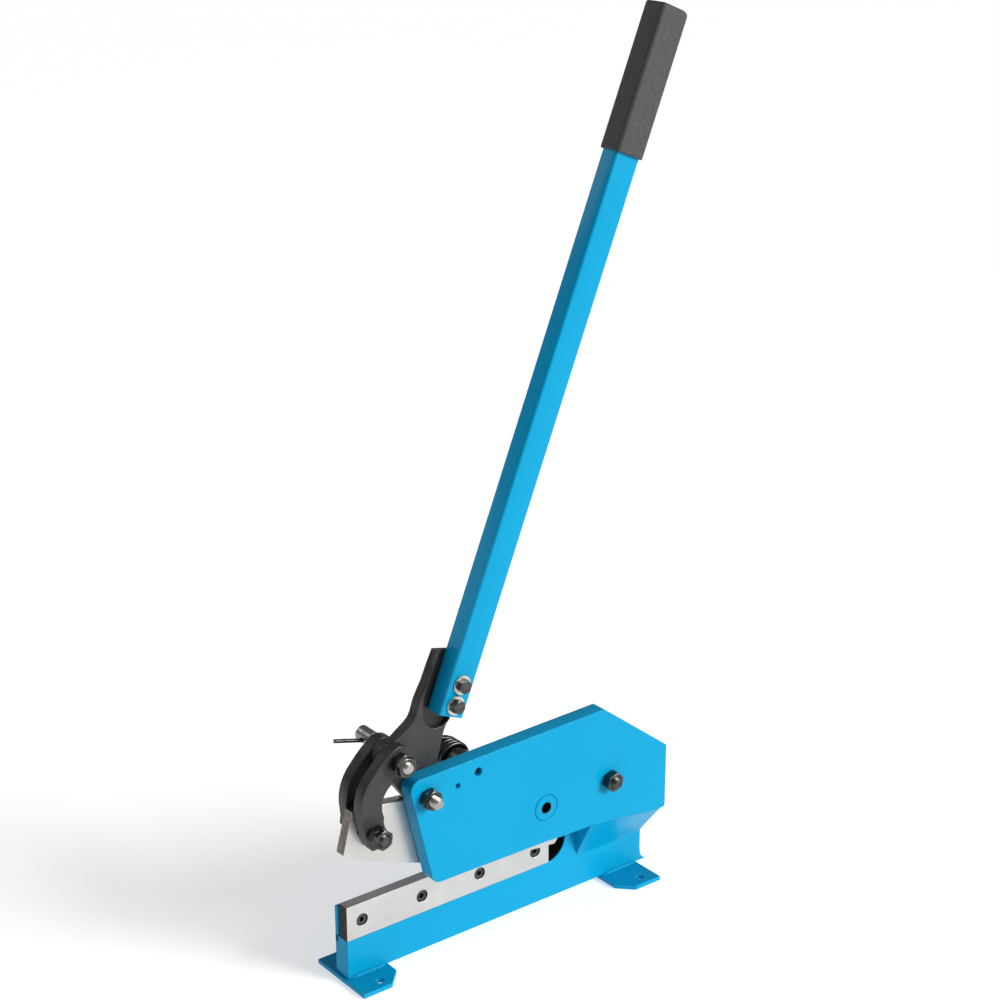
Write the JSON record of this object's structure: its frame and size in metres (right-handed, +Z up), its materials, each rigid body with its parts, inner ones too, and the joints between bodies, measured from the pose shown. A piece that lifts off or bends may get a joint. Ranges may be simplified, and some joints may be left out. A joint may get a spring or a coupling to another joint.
{
  "type": "hand lever bench shear",
  "caption": "Bench plate shear: upright lever, paired C links, curved upper blade behind a painted cheek, straight lower blade on a footed bed.",
  "frame": {"origin": "on the bench under the front foot, in the shear plane at the front end of the bed", "axes": "+Z up from the bench, +X to the rear along the bed, +Y away from the working side; the shear plane is Y = 0"},
  "size_m": [0.3998, 0.1002, 0.927],
  "materials": {
    "blue_paint": "semi-gloss paint",
    "handle_paint": "gloss paint",
    "blade_steel": "ground",
    "black_oxide": "black oxide",
    "zinc": "zinc plated",
    "spring_steel": "oiled black",
    "black_forging": "black painted forging",
    "grip_rubber": "matte moulded"
  },
  "bodies": {
    "frame": {"frame": "blue_paint", "foot_front": "blue_paint", "foot_rear": "blue_paint", "lower_blade": "blade_steel", "blade_screw_1": "black_oxide", "blade_screw_2": "black_oxide", "blade_screw_3": "black_oxide", "blade_screw_4": "black_oxide", "set_screw_1": "black_oxide", "set_screw_2": "black_oxide", "set_screw_3": "black_oxide", "set_screw_4": "black_oxide", "bar_bush": "blue_paint", "lever_pivot_bolt": "zinc", "lever_pivot_nut": "black_oxide", "lever_pivot_jam_nut": "black_oxide", "blade_pivot_bolt": "black_oxide", "blade_pivot_nut": "black_oxide", "spring_post": "black_oxide", "spring_retainer": "black_oxide", "spring_tail": "spring_steel"},
    "lever": {"lever_forging": "black_forging", "handle_tube": "handle_paint", "grip": "grip_rubber", "handle_bolt_1": "black_oxide", "handle_bolt_2": "black_oxide", "handle_washer_1": "zinc", "handle_washer_2": "zinc", "handle_nut_1": "black_oxide", "handle_nut_2": "black_oxide", "upper_pin": "zinc", "upper_nut_inner": "black_oxide", "upper_nut_outer": "black_oxide"},
    "links": {"link_near": "black_forging", "link_far": "black_forging", "link_bolt": "black_oxide", "link_nut_inner": "black_oxide", "link_nut_outer": "black_oxide", "spring_stud": "zinc"},
    "upper_blade": {"upper_blade": "blade_steel"},
    "spring": {"torsion_spring": "spring_steel"}
  },
  "joints": [
    {"name": "lever_pivot", "type": "hinge", "parent": "frame", "child": "lever", "pos_m": [0.0775, -0.0065, 0.1945], "axis": [0, -1, 0], "range_deg": [0, 70], "stiffness_Nm_per_rad": 3, "springref_deg": -40.11},
    {"name": "link_pivot", "type": "hinge", "parent": "lever", "child": "links", "pos_m": [0.0475, -0.0065, 0.2395], "axis": [0, -1, 0], "range_deg": [-50, 0]},
    {"name": "blade_pivot", "type": "hinge", "parent": "frame", "child": "upper_blade", "pos_m": [0.31, -0.0065, 0.1395], "axis": [0, -1, 0], "range_deg": [0, 13]},
    {"name": "spring_turn", "type": "hinge", "parent": "frame", "child": "spring", "pos_m": [0.1388, 0.015, 0.2024], "axis": [0, -1, 0], "range_deg": [0, 33]}
  ],
  "couplings": [
    {"joint": "link_pivot", "follows": "lever_pivot", "ratio": -0.68331},
    {"joint": "blade_pivot", "follows": "lever_pivot", "ratio": 0.17488},
    {"joint": "spring_turn", "follows": "lever_pivot", "ratio": 0.4509}
  ]
}
